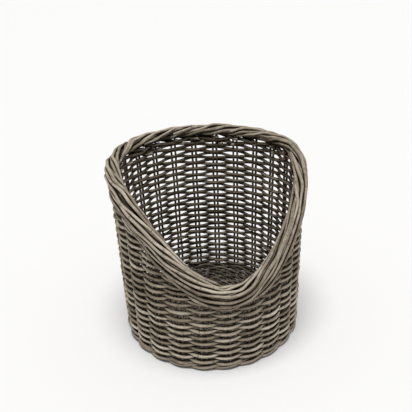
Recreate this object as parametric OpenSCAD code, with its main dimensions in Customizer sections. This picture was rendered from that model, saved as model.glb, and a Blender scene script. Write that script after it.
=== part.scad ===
// Round wicker log basket with a tall back and a scooped front.
// The front, where the scoop is, faces -Y. Angles "u" are degrees round the basket from the
// middle of the front towards +X, and all heights are above the floor.

/* [Basket] */
// Outside diameter over the rolled border
basket_d = 514; // [474:5:554]
// Height to the top of the border at the back
basket_h = 500; // [460:10:560]

/* [Scoop] */
// Height of the middle of the rolled border at the lowest point of the scoop
scoop_low_z = 233; // [203:2:303]
// Half of the scoop's width, in degrees round the basket
scoop_half = 100; // [80:5:110]
// Shape of the scoop's sides: more is flatter near the bottom and steeper further up
scoop_shape = 0.735; // [0.68:0.005:0.85]
// How far the bottom of the scoop is rounded to each side, in degrees
scoop_round = 8; // [5:1:12]

/* [Stakes] */
// Turn of the ring of stakes from the middle of the scoop, in degrees
stake_turn = -4; // [-7:1:7]
// Diameter of one stake
stake_d = 6.5; // [5:0.5:7]
// Distance between the two stakes of a pair
pair_gap = 11; // [9:0.5:12]

/* [Wall weave] */
// Diameter of a weaver
cane_d = 8.4; // [7.6:0.2:9]
// Height from one row of weaving to the next
row_pitch = 10; // [9.5:0.5:11]

/* [Border] */
// Diameter of the whole rolled border
border_d = 42; // [40:1:46]
// Diameter of one border cane
border_cane_d = 8.4; // [7.6:0.1:8.4]
// Turns that a border cane makes round the roll in one trip round the basket
border_turns = 4; // [1:1:4]

/* [Base] */
// Height of the middle of the base above the floor
base_z = 22; // [20:0.5:24]
// Diameter of a base stick
base_stick_d = 7; // [6:0.5:8]
// Diameter of a base weaver
base_cane_d = 7.4; // [6:0.2:7.6]

/* [Hidden] */
stake_pairs = 24;
stake_step = 360 / stake_pairs;
courses = 22;
border_pairs = 6;
clearance = 0.35;
gap = 0.6;

border_r = basket_d / 2 - border_d / 2;
rim_z = basket_h - border_d / 2;
wall_r = border_r + 2;
// A weaver is a band with the section area of a round cane, and so is a base stick
band = cane_d * sqrt(PI) / 2;
stick_band = base_stick_d * sqrt(PI) / 2;
wave = stake_d / 2 + band / 2 + 1.3;
wall_in_r = wall_r - wave - band / 2;

foot_h = 10.5;
foot_strand_d = 12;
foot_r = wall_r - 1;
first_row_z = foot_h + 6.5;

mm_per_degree = border_r * PI / 180;
round_fn = 48;
arc_fn = 180;

stake_color = "#5b5147";
cane_color = "#8b7d6b";
border_color = "#a2937c";
base_color = "#776a5a";

function two_digits(n) = n < 10 ? str("0", n) : str(n);
function numbered(stem, count) = [for (i = [1 : count]) str(stem, two_digits(i))];

// ---- The scoop: the border's middle line rises from the front as half a cosine wave ----

function scoop_run(u) = norm([u, scoop_round]) - scoop_round;
function scoop_phase(u) = 180 * pow(min(1, scoop_run(u) / scoop_run(scoop_half)), scoop_shape);
function border_z(u) = scoop_low_z + (rim_z - scoop_low_z) * (1 - cos(scoop_phase(u))) / 2;
// Rise of the border's middle line, in mm for each mm round the basket
function border_slope(u) = let (phase = scoop_phase(u))
    phase == 0 ? 0 : (rim_z - scoop_low_z) / 2 * sin(phase) * phase * PI / 180 * scoop_shape
        * u / (scoop_run(u) * norm([u, scoop_round]) * mm_per_degree);
// Height of the underside of the border at u, for something of this half-width beneath it
function under_border(u, half_width) = border_z(u)
    - (border_d / 2 + gap) * sqrt(1 + pow(border_slope(u), 2))
    - half_width * abs(border_slope(u));

// True where a row at height z is clear of the border above it
function row_fits(z, u) = z + band / 2 < under_border(u, band / 2);
function row_z(k) = first_row_z + k * row_pitch;
function wrapped(u) = u > 180 ? u - 360 : u;
function stake_u(i) = wrapped(stake_turn + i * stake_step);
function outward(u) = [sin(u), -cos(u), 0];

// ---- Foot ----

// A ring of cane, worn flat underneath where it stands on the floor
module foot_ring(r) {
    rotate_extrude($fn = arc_fn)
        translate([r, 0])
            intersection() {
                translate([0, foot_h - foot_strand_d / 2])
                    circle(d = foot_strand_d, $fn = round_fn);
                translate([-foot_strand_d, 0])
                    square([2 * foot_strand_d, foot_h]);
            }
}

module foot_strand_outer() {
    color(cane_color) foot_ring(foot_r + foot_strand_d / 2 + clearance);
}

module foot_strand_inner() {
    color(cane_color) foot_ring(foot_r - foot_strand_d / 2 - clearance);
}

// ---- Base: two groups of sticks, pared to half their thickness where they cross ----

sticks = 6;
stick_pitch = base_stick_d + gap;
slath_half = sticks * stick_pitch / 2 + 2;
stick_end_r = wall_in_r - 2;

// Plan of one stick: straight where it crosses the other group, then opened out like a spoke
module stick_plan(i) {
    side = i - (sticks - 1) / 2;
    spoke = side * stake_step;
    near = [slath_half, side * stick_pitch];
    far = stick_end_r * [cos(spoke), sin(spoke)];
    step = [0, stick_band / 2];
    polygon([near - step, far - step, far + step, near + step,
        [-near[0], near[1]] + step, [-far[0], far[1]] + step,
        [-far[0], far[1]] - step, [-near[0], near[1]] - step]);
}

// The group along its own X axis, with the half above (1) or below (-1) the middle pared away
module stick_group(pared_side) {
    for (i = [0 : sticks - 1])
        difference() {
            translate([0, 0, -stick_band / 2])
                linear_extrude(stick_band)
                    stick_plan(i);
            translate([-slath_half, -slath_half, pared_side > 0 ? 0 : -stick_band])
                cube([2 * slath_half, 2 * slath_half, stick_band]);
        }
}

module base_sticks_along() {
    color(base_color)
        translate([0, 0, base_z])
            rotate([0, 0, stake_turn - stake_step / 2 + 90])
                stick_group(1);
}

module base_sticks_across() {
    color(base_color)
        translate([0, 0, base_z])
            rotate([0, 0, stake_turn - stake_step / 2])
                stick_group(-1);
}

base_first_r = slath_half + 8;
base_ring_pitch = 9;
base_rings = floor((stick_end_r - base_cane_d / 2 - base_first_r) / base_ring_pitch) + 1;
base_lift = (base_stick_d + base_cane_d) / 2 + clearance;

// Every second ring of the base weave, lying above (1) or below (-1) the sticks
module base_rings_on(side) {
    first = side > 0 ? 0 : 1;
    for (k = [first : 2 : base_rings - 1])
        translate([0, 0, base_z + side * base_lift])
            rotate_extrude($fn = arc_fn)
                translate([base_first_r + k * base_ring_pitch, 0])
                    circle(d = base_cane_d, $fn = round_fn);
}

module base_weave_upper() {
    color(base_color) base_rings_on(1);
}

module base_weave_lower() {
    color(base_color) base_rings_on(-1);
}

// ---- Stakes ----

module stake_pair(number) {
    u = stake_u(number - 1);
    bottom = foot_h + gap;
    top = under_border(u, (pair_gap + stake_d) / 2) - gap;
    color(stake_color)
        rotate([0, 0, u - 90])
            for (side = [-1, 1])
                translate([wall_r, side * pair_gap / 2, bottom])
                    cylinder(d = stake_d, h = top - bottom, $fn = round_fn);
}

// ---- Wall weave ----

row_step = stake_step / 4;
ring_joint = 0.3;
// A ring's two ends meet inside the basket, behind a different pair of stakes in each row
function ring_us(k) = let (first = stake_turn + stake_step * (5 * k + 1))
    concat([for (n = [0 : 360 / row_step - 1]) first + n * row_step], [first + 360 - ring_joint]);
// An arc beside the scoop runs round the back from one side of the border to the other
function arc_us(z) = [for (n = [0 : 360 / row_step])
    let (u = stake_turn + n * row_step) if (row_fits(z, wrapped(u))) u];

// A weaver swings outside a pair of stakes and inside the next, row k opposite to row k + 1
function weaver_r(u, k) = wall_r
    + wave * cos(180 * ((u - stake_turn) / stake_step + k));
function weaver_slope(u, k) = -wave * PI / (stake_step * wall_r * PI / 180)
    * sin(180 * ((u - stake_turn) / stake_step + k));
function weaver_edge(u, k, side) =
    let (normal = outward(u) - weaver_slope(u, k) * [cos(u), sin(u), 0],
         at = weaver_r(u, k) * outward(u) + side * band / 2 * normal / norm(normal))
            [at[0], at[1]];

// Row k: a closed ring below the scoop, and an open arc round the back beside it
module row(k) {
    z = row_z(k);
    us = row_fits(z, 0) ? ring_us(k) : arc_us(z);
    last = len(us) - 1;
    translate([0, 0, z - band / 2])
        linear_extrude(band)
            polygon(concat([for (n = [0 : last]) weaver_edge(us[n], k, 1)],
                [for (n = [last : -1 : 0]) weaver_edge(us[n], k, -1)]));
}

// Two rows make a course: between them they pass both sides of every pair of stakes
module weave_course(number) {
    color(cane_color) {
        row(2 * number - 2);
        row(2 * number - 1);
    }
}

// ---- Border: canes rolled round a core, swept along the rim and the scoop ----

core_r = border_d / 2 - border_cane_d - 1.8;
lay_r = (border_d - border_cane_d) / 2;
sweep_us = concat([for (u = [-scoop_half : 5 : scoop_half]) u],
    [for (n = [1 : 19]) scoop_half + n * (360 - 2 * scoop_half) / 20]);

function along(u) =
    let (t = [cos(u), sin(u), border_slope(wrapped(u))]) t / norm(t);
function border_point(u, r, turn) =
    let (side = cross(along(u), outward(u)))
        border_r * outward(u) + [0, 0, border_z(wrapped(u))]
            + r * (cos(turn) * outward(u) + sin(turn) * side);

// A closed tube of radius r whose centre stays lay away from the border's middle line
module border_tube(lay, r, turn, sides) {
    count = len(sweep_us);
    points = [for (u = sweep_us, s = [0 : sides - 1])
        let (centre = border_point(u, lay, turn - border_turns * u),
             middle = border_point(u, 0, 0),
             rim = border_point(u, r, 360 * s / sides))
            centre + rim - middle];
    faces = [for (n = [0 : count - 1], s = [0 : sides - 1])
        let (m = (n + 1) % count, t = (s + 1) % sides)
            [n * sides + s, n * sides + t, m * sides + t, m * sides + s]];
    polyhedron(points = points, faces = faces, convexity = 8);
}

module border_core() {
    color(border_color) border_tube(0, core_r, 0, 8);
}

// Two canes on opposite sides of the roll
module border_canes(number) {
    color(border_color)
        for (half = [0, 1])
            border_tube(lay_r, border_cane_d / 2, 180 * (half + (number - 1) / border_pairs), 6);
}

foot_strand_outer();
foot_strand_inner();
base_sticks_along();
base_sticks_across();
base_weave_upper();
base_weave_lower();
for (i = [1 : stake_pairs])
    stake_pair(i);
for (i = [1 : courses])
    weave_course(i);
border_core();
for (i = [1 : border_pairs])
    border_canes(i);
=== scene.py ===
import math

import bpy
import numpy as np
from mathutils import Matrix, Vector


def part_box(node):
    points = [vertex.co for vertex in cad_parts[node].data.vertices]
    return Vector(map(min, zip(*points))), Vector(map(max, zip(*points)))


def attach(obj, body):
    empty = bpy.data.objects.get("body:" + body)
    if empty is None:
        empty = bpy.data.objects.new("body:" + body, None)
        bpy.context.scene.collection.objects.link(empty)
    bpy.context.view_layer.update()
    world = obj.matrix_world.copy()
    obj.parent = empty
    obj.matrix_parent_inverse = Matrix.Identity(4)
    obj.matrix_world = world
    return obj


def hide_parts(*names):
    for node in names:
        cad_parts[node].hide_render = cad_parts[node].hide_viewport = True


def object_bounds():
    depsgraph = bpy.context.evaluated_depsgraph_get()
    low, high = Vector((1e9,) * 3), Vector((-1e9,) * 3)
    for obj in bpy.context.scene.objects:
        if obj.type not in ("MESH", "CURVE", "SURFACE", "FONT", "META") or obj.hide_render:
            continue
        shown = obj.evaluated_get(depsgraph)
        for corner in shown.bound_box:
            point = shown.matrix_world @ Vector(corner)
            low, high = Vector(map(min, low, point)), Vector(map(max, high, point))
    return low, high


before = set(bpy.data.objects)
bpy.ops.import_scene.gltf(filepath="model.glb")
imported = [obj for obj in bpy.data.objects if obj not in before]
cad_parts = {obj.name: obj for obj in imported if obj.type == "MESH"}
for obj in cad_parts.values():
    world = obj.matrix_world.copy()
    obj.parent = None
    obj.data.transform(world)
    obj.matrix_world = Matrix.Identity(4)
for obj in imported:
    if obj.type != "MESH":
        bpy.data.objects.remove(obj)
cad_lo, cad_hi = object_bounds()
rng = np.random.default_rng(24)

# ---------------------------------------------------------------------------------------------
# The basket's measures, in metres, and in degrees round it from the middle of the front (-Y)
# towards +X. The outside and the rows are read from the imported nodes. The others are the
# part's own driving sizes, or sizes of the round canes that stand for its simpler ones.
# ---------------------------------------------------------------------------------------------
# Stakes stand in pairs, and TURN is where the first pair stands
PAIRS = 24
STEP = 360 / PAIRS
TURN = -4
STAKE_R = 0.00325
PAIR_GAP = 0.011

# The border is a roll of canes round a bundle of seven. LAY_R is how far a cane's middle lies
# from the roll's middle line for the cane to reach the roll's outside
BORDER_D = 0.042
BORDER_R = cad_hi.x - BORDER_D / 2
RIM_Z = cad_hi.z - BORDER_D / 2
BORDER_CANE_R = 0.0046
LAY_R = (BORDER_D - 2 * BORDER_CANE_R) / 2
BUNDLE_CANE_R = 0.0040
BUNDLE_R = 0.0078

# The scoop: lowest height of the border's middle line, how far round it is level again, and how
# its sides curve
SCOOP_LOW = 0.233
SCOOP_EDGE = SCOOP_LOW - BORDER_D / 2
SCOOP_HALF = 100
SCOOP_SHAPE = 0.735
SCOOP_ROUND = 8

# The rim stands up a little at the left
RIM_LIFT = 0.006
RIM_LIFT_AT = -122
RIM_LIFT_WIDTH = 30

# The weavers swing in and out of the wall's middle by WAVE. Two rows make a course. A row that is
# a full ring overlaps itself by ROW_LAP degrees to each side of its start
CANE_R = 0.0043
WALL_R = BORDER_R + 0.002
WAVE = 0.0082
ROW_LAP = 2.5
COURSES = sum(name.startswith("weave_course_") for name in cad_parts)
course_lo, course_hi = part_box("weave_course_01")
next_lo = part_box("weave_course_02")[0]
ROW_PITCH = (next_lo.z - course_lo.z) / 2
FIRST_ROW = (course_lo.z + course_hi.z - ROW_PITCH) / 2

# The foot is a rope of two canes, whose middles swing by ROPE_SWING in and out, and by ROPE_RISE
# up and down. FOOT_CLEAR leaves room below them for the canes' uneven thickness
FOOT_R = WALL_R + 0.0035
FOOT_CANE_R = 0.0046
ROPE_SWING = 0.0052
ROPE_RISE = 0.0033
FOOT_CLEAR = 1.12

# The base's two groups of sticks cross in a square slath, one STICK_LIFT below BASE_Z and one
# above it, and come level over SLATH_EASE. Rings of cane, with waves up and down, go round it
BASE_Z = 0.022
STICKS = 6
STICK_R = 0.0034
STICK_PITCH = 0.0076
STICK_END = WALL_R - 0.010
STICK_LIFT = 0.0032
SLATH = STICKS * STICK_PITCH / 2 + 0.002
SLATH_EASE = 0.012
RING_CANE_R = 0.0039
RING_PITCH = 0.0078
RING_WAVE = 0.0068
RING_START = SLATH + 0.008
RING_END = WALL_R - 0.0165
# Beyond this radius a ring has one wave for every two sticks, and nearer in one for every four
RING_DENSE = 0.075

# A leaf joint swells a cane and has a waist behind it. JOINT_RINGS are the places round a joint
# where a cane has extra rings of points, in place of any other ring nearer than RING_APART
JOINT_R = 0.0022
WAIST_AT = 0.0026
WAIST_R = 0.0016
JOINT_RINGS = np.array([-0.0052, -0.0026, -0.0011, 0, 0.0011, 0.0026, 0.0052])
RING_APART = 0.0014

# A sawn end stands CHAMFER past a cane's last ring, and its flat face has FACE_SHARE of the radius
CHAMFER = 0.0008
FACE_SHARE = 0.86


def outward(u):
    """The level direction away from the basket's axis, at u degrees."""
    a = np.radians(u)
    return np.stack([np.sin(a), -np.cos(a), 0 * a], -1)


def tangential(u):
    """The level direction round the basket, towards larger angles."""
    a = np.radians(u)
    return np.stack([np.cos(a), np.sin(a), 0 * a], -1)


def wrapped(u):
    """The same angle between -180 and 180."""
    return (np.asarray(u, float) + 180) % 360 - 180


def unit(v):
    return v / np.linalg.norm(v, axis=-1, keepdims=True)


def smooth(t):
    """An easy step from 0 to 1 while t goes from 0 to 1."""
    t = np.clip(t, 0, 1)
    return t * t * (3 - 2 * t)


def scoop_run(u):
    """Degrees from the middle of the front, rounded off there."""
    return np.hypot(wrapped(u), SCOOP_ROUND) - SCOOP_ROUND


def scoop_phase(u):
    return np.pi * np.clip(scoop_run(u) / scoop_run(SCOOP_HALF), 0, 1) ** SCOOP_SHAPE


def border_z(u):
    """Height of the border's middle line."""
    level = SCOOP_LOW + (RIM_Z - SCOOP_LOW) * (1 - np.cos(scoop_phase(u))) / 2
    return level + RIM_LIFT * np.exp(-((wrapped(u) - RIM_LIFT_AT) / RIM_LIFT_WIDTH) ** 2)


def border_slope(u):
    """Height that the middle line gains for each metre round the basket, without the rim's lift."""
    w = wrapped(u)
    phase = scoop_phase(u)
    arc = np.hypot(w, SCOOP_ROUND) * np.maximum(scoop_run(u), 1e-6) * math.pi / 180 * BORDER_R
    return (RIM_Z - SCOOP_LOW) / 2 * np.sin(phase) * phase * SCOOP_SHAPE * w / arc


def border_point(u, rho, psi):
    """The point at distance rho from the border's middle line, turned psi degrees round it, and
    the direction away from that line there. A psi of 0 is the outside of the basket, 90 the
    underside, -90 the top and 180 the inside."""
    along = unit(tangential(u) + np.stack([0 * u, 0 * u, border_slope(u)], -1))
    down = np.cross(along, outward(u))
    middle = BORDER_R * outward(u)
    middle[..., 2] += border_z(u)
    a = np.radians(psi)
    rho = np.broadcast_to(rho, np.shape(u))
    away = np.cos(a)[..., None] * outward(u) + np.sin(a)[..., None] * down
    return middle + rho[..., None] * away, away


def wander(x, wavelength, amount):
    """A slow irregular swing along x, from three waves of random phase."""
    total = 0
    for share, factor in ((0.5, 1.0), (0.33, 0.57), (0.25, 0.31)):
        total = total + share * np.sin(2 * np.pi * x / (wavelength * factor) + rng.uniform(0, 6.28))
    return amount * total


# ---------------------------------------------------------------------------------------------
# Canes: a mesh of tubes, with the joints, sawn ends and grain directions of rattan
# ---------------------------------------------------------------------------------------------
def joint_places(length, gap):
    """Distances along a cane at which it has a joint, clear of its end. A gap of 0 means none."""
    places = []
    at = rng.uniform(0.02, 0.24)
    while gap > 0 and at < length - 0.012:
        places.append(at)
        at += gap * rng.uniform(0.7, 1.35)
    return places


def ring_places(length, step, joints):
    """Distances along a cane at which it has a ring of points, with extra ones at each joint."""
    s = np.linspace(0, length, max(4, int(round(length / step)) + 1))
    if not joints:
        return s
    extra = (np.array(joints)[:, None] + JOINT_RINGS).ravel()
    keep = np.min(np.abs(s[:, None] - extra[None, :]), axis=1) > RING_APART
    keep[0] = True
    keep[-1] = True
    return np.sort(np.concatenate([s[keep], extra]))


def resampled(s, known, rows):
    """Rows of x, y, z that are given at the distances known, at the distances s instead."""
    return np.stack([np.interp(s, known, rows[:, i]) for i in range(3)], 1)


def linked(name, mesh, material):
    """Put a mesh with its material in the scene."""
    mesh.materials.append(material)
    piece = bpy.data.objects.new(name, mesh)
    bpy.context.scene.collection.objects.link(piece)
    return piece


class Canes:
    """Several canes in one mesh. Each point keeps where it is in its own cane, for the grain,
    with the cane's tint there, how near a joint is and whether it is on a sawn face."""

    def __init__(self):
        self.verts = []
        self.quads = []
        self.tris = []
        self.grain = []
        self.tint = []
        self.joint = []
        self.cut = []
        self.count = 0

    def add(self, path, radius, ref, joint_gap, tint=None, sides=10, step=0.006, rough=1.0):
        """Add a cane along path. Its first side faces ref, which is one direction or one for each
        point of path. Its rings are step apart, and rough is how uneven its thickness is."""
        hops = np.linalg.norm(np.diff(path, axis=0), axis=1)
        path_s = np.concatenate([[0], np.cumsum(hops)])
        length = path_s[-1]
        joints = joint_places(length, joint_gap)
        s = ring_places(length, step, joints)
        rings = len(s)

        centre = resampled(s, path_s, path)
        tangent = unit(np.gradient(centre, s, axis=0))
        ref = np.asarray(ref, float)
        if ref.ndim == 2:
            ref = resampled(s, path_s, ref)
        ref = np.broadcast_to(ref, (rings, 3))
        normal = unit(ref - np.sum(ref * tangent, 1, keepdims=True) * tangent)
        binormal = np.cross(tangent, normal)

        r = radius * (1 + rough * wander(s, wavelength=0.11, amount=0.045))
        mark = np.zeros(rings)
        for at in joints:
            d = (s - at) / JOINT_R
            waist = (s - at - WAIST_AT) / WAIST_R
            r = r + radius * 0.085 * np.exp(-d * d) - radius * 0.04 * np.exp(-waist ** 2)
            mark = np.maximum(mark, np.exp(-(d * 1.25) ** 2))

        # A cane isn't quite round, and its flatter sides turn slowly along it
        angle = 2 * np.pi * np.arange(sides) / sides
        turn = wander(s, wavelength=0.3, amount=1.5)
        radii = r[:, None] * (1 + 0.03 * np.cos(2 * angle[None, :] + turn[:, None]))
        x = radii * np.cos(angle)
        y = radii * np.sin(angle)
        tube = centre[:, None, :] + x[..., None] * normal[:, None, :] + y[..., None] * binormal[:, None, :]

        # Each cane has its own stretch of the grain pattern
        along = np.repeat((s + rng.uniform(0, 40))[:, None], sides, 1)
        grain = np.stack([x, y, along], -1)
        if tint is None:
            tint = rng.uniform(0, 1)
        tints = np.clip(tint + wander(s, wavelength=0.4, amount=0.10), 0, 1)

        first = self._points(tube.reshape(-1, 3), grain.reshape(-1, 3), np.repeat(tints, sides),
                             np.repeat(mark, sides), np.zeros(rings * sides))
        i = np.arange(rings - 1)[:, None] * sides
        j = np.arange(sides)[None, :]
        k = (j + 1) % sides
        quads = np.stack([i + j, i + k, i + sides + k, i + sides + j], -1)
        self.quads.append(first + quads.reshape(-1, 4))
        last = first + (rings - 1) * sides
        self._cap(tube[0], grain[0], centre[0], -tangent[0], tints[0], first, backwards=True)
        self._cap(tube[-1], grain[-1], centre[-1], tangent[-1], tints[-1], last, backwards=False)

    def _points(self, verts, grain, tint, joint, cut):
        """Add points, and give the number of the first of them."""
        first = self.count
        self.verts.append(verts)
        self.grain.append(grain)
        self.tint.append(tint)
        self.joint.append(joint)
        self.cut.append(cut)
        self.count += len(verts)
        return first

    def _cap(self, ring, grain, centre, out, tint, first, backwards):
        """Close the end whose ring of points starts at number first: a chamfer, then a flat face
        with points of its own. The faces at the start of a cane run backwards."""
        sides = len(ring)
        middle = centre + out * CHAMFER
        lip = middle + FACE_SHARE * (ring - centre)
        lip_grain = grain * (FACE_SHARE, FACE_SHARE, 1)
        middle_grain = grain[:1] * (0, 0, 1)
        total = 2 * sides + 1
        start = self._points(np.vstack([lip, lip, middle]),
                             np.vstack([lip_grain, lip_grain, middle_grain]),
                             np.full(total, tint), np.zeros(total),
                             np.concatenate([np.zeros(sides), np.ones(sides + 1)]))
        j = np.arange(sides)
        k = (j + 1) % sides
        if backwards:
            j, k = k, j
        face = start + sides
        hub = np.full(sides, face + sides)
        self.quads.append(np.stack([first + j, first + k, start + k, start + j], 1))
        self.tris.append(np.stack([face + j, face + k, hub], 1))

    def build(self, name, material, slot, node):
        """Make the canes one piece, which stands for a node of the CAD."""
        verts = np.vstack(self.verts)
        quads = np.vstack(self.quads)
        tris = np.vstack(self.tris)
        loops = np.concatenate([quads.ravel(), tris.ravel()])
        sizes = np.concatenate([np.full(len(quads), 4), np.full(len(tris), 3)])
        starts = np.concatenate([[0], np.cumsum(sizes)[:-1]])
        mesh = bpy.data.meshes.new(name)
        mesh.vertices.add(len(verts))
        mesh.vertices.foreach_set("co", verts.astype(np.float32).ravel())
        mesh.loops.add(len(loops))
        mesh.loops.foreach_set("vertex_index", loops.astype(np.int32))
        mesh.polygons.add(len(sizes))
        mesh.polygons.foreach_set("loop_start", starts.astype(np.int32))
        mesh.polygons.foreach_set("loop_total", sizes.astype(np.int32))
        mesh.polygons.foreach_set("use_smooth", sizes == 4)
        mesh.update(calc_edges=True)
        for title, kind, field, data in (
            ("cane_co", "FLOAT_VECTOR", "vector", np.vstack(self.grain)),
            ("cane_tint", "FLOAT", "value", np.concatenate(self.tint)),
            ("cane_joint", "FLOAT", "value", np.concatenate(self.joint)),
            ("cane_cut", "FLOAT", "value", np.concatenate(self.cut)),
        ):
            attribute = mesh.attributes.new(title, kind, "POINT")
            attribute.data.foreach_set(field, data.astype(np.float32).ravel())
        mesh.validate()
        piece = linked(name, mesh, material)
        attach(piece, "root")
        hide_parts(node)


# ---------------------------------------------------------------------------------------------
# Materials
# ---------------------------------------------------------------------------------------------
UNCHANGED = (1.0, 1.0, 1.0)
SPECK_BROWN = (0.055, 0.042, 0.03)
STAIN_BROWN = (0.100, 0.074, 0.050)
SUN_BLEACH = (0.62, 0.585, 0.52)
GREEN_AGE = (0.330, 0.345, 0.245)
PINK_AGE = (0.400, 0.300, 0.250)
JOINT_COLLAR = (0.36, 0.30, 0.22)
JOINT_RING = (0.06, 0.042, 0.028)
PITH_LIGHT = (0.30, 0.23, 0.155)
PITH_DARK = (0.15, 0.11, 0.075)
# Colours of painted shade: between the canes, on the side facing into the basket, and on the undersides
CREVICE_SHADE = (0.060, 0.040, 0.022)
INSIDE_SHADE = (0.42, 0.39, 0.355)
UNDERSIDE_SHADE = (0.40, 0.34, 0.28)

# Distances from the basket's axis between which the shaded inside gives way to the outside. With
# the last pair everything counts as outside
WALL_INSIDE = (0.228, 0.243)
BORDER_INSIDE = (0.206, 0.222)
NO_INSIDE = (-2, -1)


class Graph:
    """A new material, with short ways to add nodes to it."""

    def __init__(self, name):
        self.material = bpy.data.materials.new(name)
        self.material.use_nodes = True
        self.tree = self.material.node_tree
        self.shader = self.tree.nodes["Principled BSDF"]

    def node(self, kind, **settings):
        made = self.tree.nodes.new(kind)
        for key, value in settings.items():
            setattr(made, key, value)
        return made

    def feed(self, socket, value):
        """Link another node's output to a socket, or set it to a number or a colour."""
        if isinstance(value, bpy.types.NodeSocket):
            self.tree.links.new(value, socket)
        elif isinstance(value, tuple):
            socket.default_value = value + (1,)
        else:
            socket.default_value = value

    def attribute(self, title, output):
        return self.node("ShaderNodeAttribute", attribute_name=title).outputs[output]

    def calc(self, operation, *values, clamp=False):
        made = self.node("ShaderNodeMath", operation=operation, use_clamp=clamp)
        for socket, value in zip(made.inputs, values):
            self.feed(socket, value)
        return made.outputs[0]

    def add(self, a, b, clamp=False):
        return self.calc("ADD", a, b, clamp=clamp)

    def times(self, a, b, clamp=False):
        return self.calc("MULTIPLY", a, b, clamp=clamp)

    def spread(self, value, low, high, out_low=0.0, out_high=1.0):
        """Turn low to high into out_low to out_high, and keep to those beyond them."""
        made = self.node("ShaderNodeMapRange", clamp=True)
        self.feed(made.inputs["Value"], value)
        self.feed(made.inputs["From Min"], low)
        self.feed(made.inputs["From Max"], high)
        self.feed(made.inputs["To Min"], out_low)
        self.feed(made.inputs["To Max"], out_high)
        return made.outputs["Result"]

    def mix(self, share, a, b, how="MIX"):
        made = self.node("ShaderNodeMix", data_type="RGBA", blend_type=how)
        self.feed(made.inputs["Factor"], share)
        self.feed(made.inputs[6], a)
        self.feed(made.inputs[7], b)
        return made.outputs[2]

    def shaded(self, colour, share, shade):
        """colour times shade where share is 0, and unchanged where it is 1."""
        return self.mix(1.0, colour, self.mix(share, shade, UNCHANGED), "MULTIPLY")

    def noise(self, vector, scale, detail, roughness=0.5):
        made = self.node("ShaderNodeTexNoise")
        self.feed(made.inputs["Vector"], vector)
        self.feed(made.inputs["Scale"], scale)
        self.feed(made.inputs["Detail"], detail)
        self.feed(made.inputs["Roughness"], roughness)
        return made.outputs["Fac"]

    def noise_along(self, across, along, detail, roughness=0.6):
        """Noise in a cane's own coordinates, with other scales across it and along it."""
        made = self.node("ShaderNodeMapping")
        made.inputs["Scale"].default_value = (across, across, along)
        self.feed(made.inputs["Vector"], self.attribute("cane_co", "Vector"))
        return self.noise(made.outputs["Vector"], 1.0, detail, roughness)

    def ramp(self, value, stops):
        """Turn a number into a colour. stops are (place, colour)."""
        made = self.node("ShaderNodeValToRGB")
        elements = made.color_ramp.elements
        while len(elements) < len(stops):
            elements.new(0.5)
        for element, (place, colour) in zip(elements, stops):
            element.position = place
            element.color = colour + (1,)
        self.feed(made.inputs["Fac"], value)
        return made.outputs["Color"]

    def split(self, vector):
        made = self.node("ShaderNodeSeparateXYZ")
        self.feed(made.inputs[0], vector)
        return made.outputs


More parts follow.
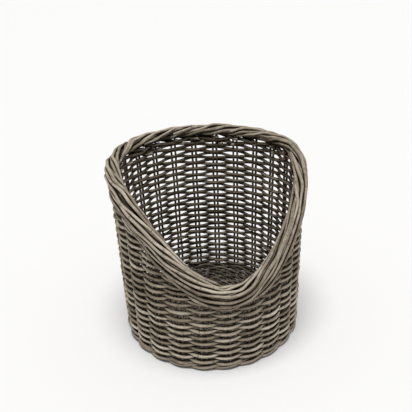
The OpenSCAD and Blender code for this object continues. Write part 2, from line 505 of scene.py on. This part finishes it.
def rattan(name, stops, crevice=0.014, inside=WALL_INSIDE, deep=(0.30, 0.82)):
    """Weathered grey cane. stops are the colours of its grain, from the darkest canes to the
    lightest. crevice is how near another cane has to be for the painted shade between canes, deep
    how open a place is where that painted shade is darkest and where it ends, and inside one of
    the three pairs above, for the painted shade on the side that faces into the basket."""
    graph = Graph(name)
    spread = graph.spread
    mix = graph.mix
    coords = graph.node("ShaderNodeTexCoord").outputs
    tint = graph.attribute("cane_tint", "Fac")
    joint = graph.attribute("cane_joint", "Fac")
    cut = graph.attribute("cane_cut", "Fac")

    # The grain, and the tint of each cane
    fibre = graph.noise_along(across=1500, along=26, detail=4, roughness=0.65)
    streak = graph.noise_along(across=520, along=9, detail=3)
    patch = graph.noise_along(across=60, along=14, detail=2)
    tone = graph.add(graph.times(tint, 0.62), spread(patch, 0.25, 0.75, -0.16, 0.26))
    tone = graph.add(tone, spread(streak, 0.3, 0.7, -0.12, 0.16))
    tone = graph.add(tone, spread(fibre, 0.3, 0.7, -0.12, 0.16), clamp=True)
    colour = graph.ramp(tone, stops)

    # Specks of dirt, and then brown stains and bleached places
    speck = graph.noise(coords["Object"], scale=420, detail=3, roughness=0.7)
    colour = mix(spread(speck, 0.56, 0.74, 0.0, 0.5), colour, SPECK_BROWN)
    stain = graph.noise(coords["Object"], scale=85, detail=4, roughness=0.62)
    colour = mix(spread(stain, 0.54, 0.68, 0.0, 0.52), colour, STAIN_BROWN)
    colour = mix(spread(stain, 0.44, 0.30, 0.0, 0.40), colour, SUN_BLEACH)

    # Old grey cane turns a little green in places, and a little pink in others
    weather = graph.noise(coords["Object"], scale=22, detail=3)
    colour = mix(spread(weather, 0.54, 0.68, 0.0, 0.20), colour, GREEN_AGE)
    colour = mix(spread(weather, 0.46, 0.32, 0.0, 0.20), colour, PINK_AGE)

    # Each joint is a dark ring with a paler collar
    collar = graph.times(spread(joint, 0.05, 0.35), spread(joint, 0.75, 0.4), clamp=True)
    colour = mix(graph.times(collar, 0.45), colour, JOINT_COLLAR)
    colour = mix(graph.times(spread(joint, 0.55, 0.95), 0.75), colour, JOINT_RING)

    # A sawn end shows pale pith
    pith = graph.noise(coords["Object"], scale=2600, detail=2)
    colour = mix(cut, colour, mix(spread(pith, 0.4, 0.62), PITH_LIGHT, PITH_DARK))

    # Painted shade: darker between the canes, where another cane is near
    openness = graph.node("ShaderNodeAmbientOcclusion", samples=8)
    graph.feed(openness.inputs["Distance"], crevice)
    colour = graph.shaded(colour, spread(openness.outputs["AO"], deep[0], deep[1]), CREVICE_SHADE)

    # Painted shade: the side that faces into the basket is darker
    x, y = graph.split(coords["Object"])[:2]
    radius = graph.calc("SQRT", graph.add(graph.times(x, x), graph.times(y, y)))
    colour = graph.shaded(colour, spread(radius, inside[0], inside[1]), INSIDE_SHADE)

    # Upper sides are bleached and dusty, and undersides keep their brown
    # Painted shade and painted light: undersides darker and upper sides lighter, as under light from above
    upward = graph.split(coords["Normal"])[2]
    colour = graph.shaded(colour, spread(upward, -0.75, 0.40), UNDERSIDE_SHADE)
    graph.feed(graph.shader.inputs["Base Color"], colour)

    graph.feed(graph.shader.inputs["Roughness"], spread(streak, 0.3, 0.7, 0.58, 0.80))
    graph.feed(graph.shader.inputs["Specular IOR Level"], 0.22)
    height = graph.add(graph.times(fibre, 0.7), graph.times(streak, 0.6))
    height = graph.calc("SUBTRACT", height, graph.times(spread(speck, 0.55, 0.8), 0.4))
    relief = graph.node("ShaderNodeBump")
    graph.feed(relief.inputs["Strength"], 0.75)
    graph.feed(relief.inputs["Distance"], 0.00035)
    graph.feed(relief.inputs["Height"], height)
    graph.feed(graph.shader.inputs["Normal"], relief.outputs["Normal"])
    return graph.material


wall_mat = rattan("wall_rattan", [
    (0.0, (0.115, 0.087, 0.057)), (0.25, (0.285, 0.235, 0.166)), (0.5, (0.490, 0.423, 0.323)),
    (0.75, (0.735, 0.660, 0.540)), (1.0, (0.920, 0.860, 0.745))], deep=(0.46, 0.92))
border_mat = rattan("border_rattan", [
    (0.0, (0.100, 0.077, 0.052)), (0.25, (0.235, 0.193, 0.139)), (0.5, (0.405, 0.347, 0.265)),
    (0.75, (0.625, 0.553, 0.448)), (1.0, (0.850, 0.785, 0.672))],
    crevice=0.018, inside=BORDER_INSIDE, deep=(0.48, 0.94))
stake_mat = rattan("stake_rattan", [
    (0.0, (0.110, 0.088, 0.062)), (0.3, (0.240, 0.200, 0.148)), (0.6, (0.410, 0.354, 0.275)),
    (1.0, (0.660, 0.592, 0.482))], deep=(0.08, 0.60))
bundle_mat = rattan("core_rattan", [
    (0.0, (0.030, 0.024, 0.018)), (0.5, (0.075, 0.061, 0.046)), (1.0, (0.150, 0.126, 0.098))])
base_mat = rattan("base_rattan", [
    (0.0, (0.030, 0.023, 0.016)), (0.35, (0.072, 0.058, 0.042)), (0.7, (0.135, 0.112, 0.084)),
    (1.0, (0.250, 0.215, 0.168))], inside=NO_INSIDE)
foot_mat = rattan("foot_rattan", [
    (0.0, (0.090, 0.072, 0.052)), (0.3, (0.200, 0.166, 0.122)), (0.6, (0.345, 0.297, 0.230)),
    (1.0, (0.560, 0.500, 0.410))], inside=NO_INSIDE)


# ---------------------------------------------------------------------------------------------
# Wall: rows of weavers
# ---------------------------------------------------------------------------------------------
def row_z(k):
    return FIRST_ROW + k * ROW_PITCH


def row_height(k, u):
    """Height of row k. Rows that are level with the border at the bottom of the scoop bend up
    beside it and a little under it, and rows dip where they run in under its steep sides."""
    z = row_z(k)
    off_front = np.abs(wrapped(u))
    below = (border_z(u) - z) / np.sqrt(1 + border_slope(u) ** 2) - BORDER_D / 2
    steep = smooth((110 - off_front) / 40)
    dip = 0.0075 * steep * np.exp(-np.clip(below, 0, 1) / 0.040)
    beside = (0.35 + 0.65 * smooth(off_front / 20)) * smooth((58 - off_front) / 30)
    lift = 0.014 * beside * math.exp(-abs(SCOOP_EDGE - z) / 0.032)
    return z - dip + lift


def row_path(k):
    """Points along row k: a ring if it is below the scoop, or else an arc with its ends in the
    border."""
    z = row_z(k)
    is_ring = z + CANE_R < SCOOP_EDGE
    if is_ring:
        first = TURN + STEP * (5 * k + 1)
        u = np.arange(first - ROW_LAP, first + 360 + ROW_LAP, 0.2)
    else:
        # The row starts where it meets the lower part of the roll
        probe = np.arange(0, 180, 0.05)
        in_roll = border_z(probe) - 0.3 * BORDER_D / 2 * np.sqrt(1 + border_slope(probe) ** 2)
        start = probe[np.argmax(in_roll > z)]
        u = np.arange(start, 360 - start, 0.2)
    arc = np.radians(u) * WALL_R
    swing = np.cos(np.radians(180 * ((u - TURN) / STEP + k)))
    # Canes bend more sharply at the stakes than a plain wave does
    swing = swing * (1.12 - 0.12 * swing * swing)
    r = WALL_R + WAVE * swing + wander(arc, wavelength=0.17, amount=0.0009)
    if is_ring:
        # The end of a ring is tucked in behind its start
        r = r - 0.0062 * smooth((u - u[-1] + 9) / 4) + 0.0012 * smooth((u[0] + 7 - u) / 4)
    points = r[:, None] * outward(u)
    points[:, 2] = row_height(k, u) + wander(arc, wavelength=0.21, amount=0.0017)
    return points


for course in range(1, COURSES + 1):
    canes = Canes()
    rows = [2 * course - 2, 2 * course - 1]
    if course == COURSES:
        # One more row fills the space that is left below the rim
        rows.append(2 * course)
    for k in rows:
        points = row_path(k)
        radius = CANE_R * rng.uniform(0.92, 1.08)
        tint = rng.uniform(0.25, 0.98)
        canes.add(points, radius, (0, 0, 1), joint_gap=0.26, tint=tint)
    canes.build(f"wall_course_{course:02d}", wall_mat, "wall_cane", f"weave_course_{course:02d}")

# ---------------------------------------------------------------------------------------------
# Stakes: two to a pair, which lean into the middle of the border at the top
# ---------------------------------------------------------------------------------------------
for i in range(PAIRS):
    u0 = wrapped(TURN + i * STEP)
    node = f"stake_pair_{i + 1:02d}"
    lo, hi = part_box(node)
    canes = Canes()
    for side in (-1, 1):
        z = np.arange(lo.z, hi.z + 0.022, 0.004)
        off = side * PAIR_GAP / 2 + wander(z, wavelength=0.19, amount=0.0011)
        r = WALL_R + wander(z, wavelength=0.16, amount=0.0008)
        r = r - (WALL_R - BORDER_R) * smooth((z - hi.z) / 0.02)
        points = r[:, None] * outward(u0) + off[:, None] * tangential(u0)
        points[:, 2] = z
        canes.add(points, STAKE_R, outward(u0), joint_gap=0.21, sides=8, step=0.011)
    canes.build(f"stakes_{i + 1:02d}", stake_mat, "stake_cane", node)

# ---------------------------------------------------------------------------------------------
# Border: a bundle in the middle, and pairs of canes that roll round it
# ---------------------------------------------------------------------------------------------
bundle = Canes()
u = np.arange(0, 360.01, 1.0)
for j in range(6):
    points, away = border_point(u, BUNDLE_R, 60 * j - u)
    bundle.add(points, BUNDLE_CANE_R, away, joint_gap=0, sides=7, step=0.012)
points, away = border_point(u, 0.0002, 0 * u)
bundle.add(points, BUNDLE_CANE_R, away, joint_gap=0, sides=7, step=0.012)
bundle.build("border_bundle", bundle_mat, "border_cane", "border_core")


def lay(u, rate):
    """Turn round the roll, in degrees, at each place: slower in the scoop, quicker at the back."""
    return rate * u - 0.35 * np.degrees(np.sin(np.radians(u)))


def add_border_cane(canes, u0, over):
    """Add one cane of the pair that starts at u0. One cane of each pair lies against the bundle.
    The other comes up the face of the wall, a little below the roll, and then rides over its
    neighbours."""
    rate = rng.uniform(2.4, 3.2) if over else rng.uniform(3.6, 4.4)
    span = rng.uniform(215, 265) if over else rng.uniform(290, 330)
    lead = rng.uniform(14, 26) if over else 3
    u = np.arange(u0 - lead, u0 + 150, 0.35)
    turned = lay(u, rate) - lay(u0, rate)
    u = u[turned < span]
    turned = turned[turned < span]
    arc = (u - u0) * BORDER_R * np.pi / 180

    # tuck is 1 where the cane comes out of the wall, rise 1 where it is on the roll, and fall 1
    # where its end goes in under its neighbours
    tuck = smooth((u0 - lead + 7 - u) / 7)
    rise = smooth((turned + 25) / 90)
    fall = smooth((turned - span + 60) / 60)
    sway = wander(arc, wavelength=0.20, amount=15) * (0.25 + 0.75 * rise) * (1 - tuck)
    psi = (67 if over else 80) - np.maximum(turned, 0) + sway + 48 * tuck
    depth = 0.0006 if over else -0.0046
    lift = rng.uniform(0.009, 0.021) if over else 0.007
    rho = (LAY_R + depth + wander(arc, wavelength=0.17, amount=0.0021) + lift * (1 - rise)
           - 0.0065 * fall)
    points, away = border_point(u, rho, psi)
    # Painted shade: the canes that lie under get darker tints than the ones that ride over them
    tint = rng.uniform(0.45, 1.0) if over else rng.uniform(0.0, 0.75)
    radius = BORDER_CANE_R * rng.uniform(0.82, 1.08)
    canes.add(points, radius, away, joint_gap=0.22, tint=tint, step=0.0055)


for i in range(PAIRS):
    canes = Canes()
    add_border_cane(canes, TURN + i * STEP, over=False)
    add_border_cane(canes, TURN + i * STEP, over=True)
    # The CAD has six nodes of border canes, and every sixth pair stands for the same one
    node = f"border_canes_{i % 6 + 1:02d}"
    canes.build(f"border_pair_{i + 1:02d}", border_mat, "border_cane", node)

# ---------------------------------------------------------------------------------------------
# Foot: two canes twisted into a rope, on which the basket stands
# ---------------------------------------------------------------------------------------------
for strand, which in enumerate(("outer", "inner")):
    canes = Canes()
    u = np.arange(-3, 358, 0.5) + 180 * strand
    twist = np.radians(12 * (u - TURN)) + np.pi * strand
    points = (FOOT_R + ROPE_SWING * np.cos(twist))[:, None] * outward(u)
    points[:, 2] = FOOT_CANE_R * FOOT_CLEAR + ROPE_RISE + ROPE_RISE * np.sin(twist)
    canes.add(points, FOOT_CANE_R, (0, 0, 1), joint_gap=0.3, rough=0.5)
    canes.build(f"foot_rope_{which}", foot_mat, "foot_cane", f"foot_strand_{which}")

# ---------------------------------------------------------------------------------------------
# Base: two groups of sticks that cross in the middle, and wavy rings of cane round them
# ---------------------------------------------------------------------------------------------
for way, quarter, level in (("along", 90, -1), ("across", 0, 1)):
    canes = Canes()
    turn = math.radians(TURN - STEP / 2 + quarter)
    rotation = np.array([[math.cos(turn), -math.sin(turn)], [math.sin(turn), math.cos(turn)]])
    for i in range(STICKS):
        side = i - (STICKS - 1) / 2
        spoke = math.radians(side * STEP)
        # Each stick runs straight across the slath, and beyond it opens out like a spoke
        x = np.linspace(-STICK_END, STICK_END, 241)
        off = np.abs(x)
        t = np.clip((off - SLATH) / (STICK_END - SLATH), 0, 1)
        y_line = side * STICK_PITCH + t * (STICK_END * math.sin(spoke) - side * STICK_PITCH)
        beyond = SLATH + t * (STICK_END * math.cos(spoke) - SLATH)
        x_line = np.sign(x) * np.where(off < SLATH, off, beyond)
        z_line = BASE_Z + level * STICK_LIFT * smooth((SLATH + SLATH_EASE - off) / SLATH_EASE)
        points = np.column_stack([np.stack([x_line, y_line], 1) @ rotation.T, z_line])
        canes.add(points, STICK_R, (0, 0, 1), joint_gap=0.2, sides=8, step=0.010)
    canes.build(f"base_spokes_{way}", base_mat, "base_cane", f"base_sticks_{way}")

even_rings = Canes()
odd_rings = Canes()
for ring, ring_r in enumerate(np.arange(RING_START, RING_END, RING_PITCH)):
    u = np.arange(0, 362, 0.7)
    if ring_r > RING_DENSE:
        phase = (u - TURN) * PAIRS / 2
    else:
        phase = (u - TURN) * (PAIRS // 2) / 2 + 90
    # A ring's end is tucked in. Each ring starts at another place, and so do its waves
    r = ring_r + wander(np.radians(u) * ring_r, wavelength=0.2, amount=0.0006)
    r = r - 0.004 * smooth((u - 352) / 8)
    points = r[:, None] * outward(u + 97 * ring)
    points[:, 2] = BASE_Z + RING_WAVE * np.cos(np.radians(phase + 180 * ring))
    canes = odd_rings if ring % 2 else even_rings
    canes.add(points, RING_CANE_R, (0, 0, 1), joint_gap=0.3, sides=8, step=0.0065)
even_rings.build("base_weave_even", base_mat, "base_cane", "base_weave_upper")
odd_rings.build("base_weave_odd", base_mat, "base_cane", "base_weave_lower")


# ---------------------------------------------------------------------------------------------
# Stage, light and camera
# ---------------------------------------------------------------------------------------------
def stage_mesh(name, verts, faces, material):
    """A piece of the stage, which isn't part of the object."""
    mesh = bpy.data.meshes.new(name)
    mesh.from_pydata(verts, [], faces)
    piece = linked(name, mesh, material)
    return piece


paper = Graph("floor_white")
blotch = paper.node("ShaderNodeTexNoise")
paper.feed(blotch.inputs["Scale"], 3.0)
floor_colour = paper.ramp(blotch.outputs["Fac"], [(0.0, (0.90, 0.90, 0.90)), (1.0, (0.93, 0.93, 0.93))])
paper.feed(paper.shader.inputs["Base Color"], floor_colour)
paper.feed(paper.shader.inputs["Roughness"], 0.9)
paper.feed(paper.shader.inputs["Specular IOR Level"], 0.1)
FLOOR_HALF = 30.0
corners = [(x * FLOOR_HALF, y * FLOOR_HALF, 0) for x, y in ((-1, -1), (1, -1), (1, 1), (-1, 1))]
stage_mesh("floor", corners, [(0, 1, 2, 3)], paper.material)

# A pale dome far off, which only the camera sees. It hides the floor's edge
glow = Graph("backdrop_white")
glow.feed(glow.shader.inputs["Base Color"], (0, 0, 0))
glow.feed(glow.shader.inputs["Emission Color"], (1, 1, 1))
glow.feed(glow.shader.inputs["Emission Strength"], 0.95)
DOME_R = 28.0
DOME_SIDES = 48
DOME_RINGS = 9
verts = []
faces = []
for i in range(DOME_RINGS):
    tilt = math.pi / 2 * i / DOME_RINGS
    for j in range(DOME_SIDES):
        a = 2 * math.pi * j / DOME_SIDES
        level_r = DOME_R * math.cos(tilt)
        verts.append((level_r * math.cos(a), level_r * math.sin(a), DOME_R * math.sin(tilt)))
        here = i * DOME_SIDES + j
        beside = i * DOME_SIDES + (j + 1) % DOME_SIDES
        if i < DOME_RINGS - 1:
            faces.append((here, beside, beside + DOME_SIDES, here + DOME_SIDES))
        else:
            faces.append((here, beside, DOME_RINGS * DOME_SIDES))
verts.append((0, 0, DOME_R))
dome = stage_mesh("backdrop", verts, faces, glow.material)
dome.visible_diffuse = False
dome.visible_glossy = False
dome.visible_shadow = False

world = bpy.data.worlds.new("studio")
bpy.context.scene.world = world
world.use_nodes = True
world.node_tree.nodes["Background"].inputs["Color"].default_value = (1.0, 1.0, 1.0, 1)
world.node_tree.nodes["Background"].inputs["Strength"].default_value = 0.36

# A light so wide that its shadows have no edge
TOWARDS_LIGHT = Vector((-0.05, -0.11, 1.0))
light = bpy.data.lights.new("key", "SUN")
light.energy = 2.3
light.angle = math.radians(29)
light.color = (1.0, 0.995, 0.985)
light_object = bpy.data.objects.new("key", light)
light_object.rotation_euler = TOWARDS_LIGHT.to_track_quat("Z", "Y").to_euler()
bpy.context.scene.collection.objects.link(light_object)

# The camera looks past the middle of the basket's axis. back points from there to the camera
AZIMUTH = math.radians(-13)
ELEVATION = math.radians(30.8)
ROLL = math.radians(2.15)
DISTANCE = 1.5
back = Vector((math.sin(AZIMUTH) * math.cos(ELEVATION), -math.cos(AZIMUTH) * math.cos(ELEVATION),
               math.sin(ELEVATION)))
right = Vector((math.cos(AZIMUTH), math.sin(AZIMUTH), 0))
up = back.cross(right)
cam_right = right * math.cos(ROLL) - up * math.sin(ROLL)
cam_up = right * math.sin(ROLL) + up * math.cos(ROLL)
camera = bpy.data.cameras.new("camera")
camera.sensor_width = 36
camera.lens = 47.4
camera.shift_x = -0.0090
camera.shift_y = 0.082
camera.clip_start = 0.02
camera_object = bpy.data.objects.new("camera", camera)
bpy.context.scene.collection.objects.link(camera_object)
camera_place = Matrix((cam_right, cam_up, back)).transposed().to_4x4()
camera_place.translation = Vector((0, 0, (cad_lo.z + cad_hi.z) / 2)) + back * DISTANCE
camera_object.matrix_world = camera_place
bpy.context.scene.camera = camera_object
bpy.context.scene.view_settings.view_transform = "Standard"
